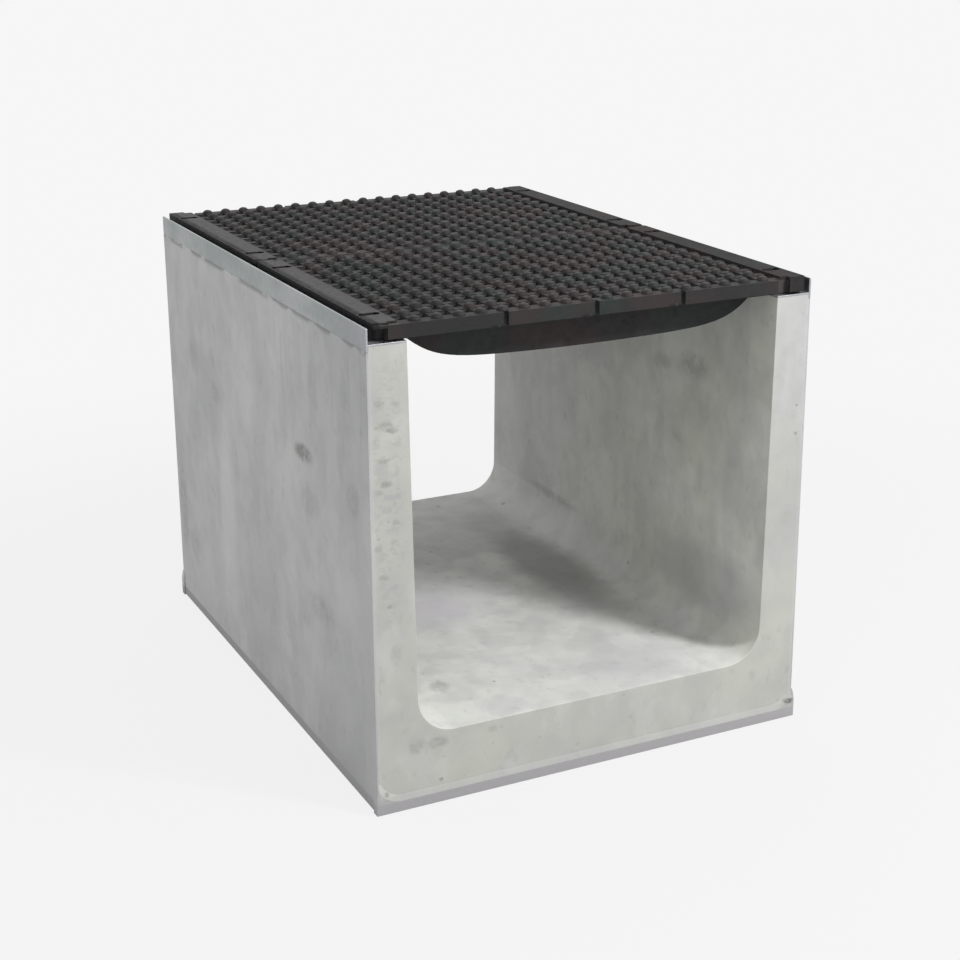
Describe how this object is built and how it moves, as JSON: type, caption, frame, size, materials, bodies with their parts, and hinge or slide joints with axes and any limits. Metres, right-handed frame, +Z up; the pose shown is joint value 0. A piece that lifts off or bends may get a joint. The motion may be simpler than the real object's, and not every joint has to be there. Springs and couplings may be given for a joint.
{
  "type": "concrete drainage channel",
  "caption": "Precast concrete U-shaped drainage channel with galvanised edge rails and lift-out cast iron mesh gratings.",
  "frame": {"origin": "centre of the bottom, on the ground under the middle of the channel", "axes": "+X across the channel, +Y along the channel from the front end to the rear end, +Z up"},
  "size_m": [0.756, 1, 0.7578],
  "materials": {
    "concrete": "matte",
    "galvanised_steel": "satin",
    "ductile_iron": "matte"
  },
  "bodies": {
    "channel": {"channel_body": "concrete", "rail_left": "galvanised_steel", "rail_right": "galvanised_steel"},
    "front_grating": {"grating_front": "ductile_iron"},
    "rear_grating": {"grating_rear": "ductile_iron"}
  },
  "joints": [
    {"name": "front_grating_lift", "type": "slide", "parent": "channel", "child": "front_grating", "axis": [0, 0, 1], "range_m": [0, 0.11]},
    {"name": "rear_grating_lift", "type": "slide", "parent": "channel", "child": "rear_grating", "axis": [0, 0, 1], "range_m": [0, 0.11]}
  ]
}
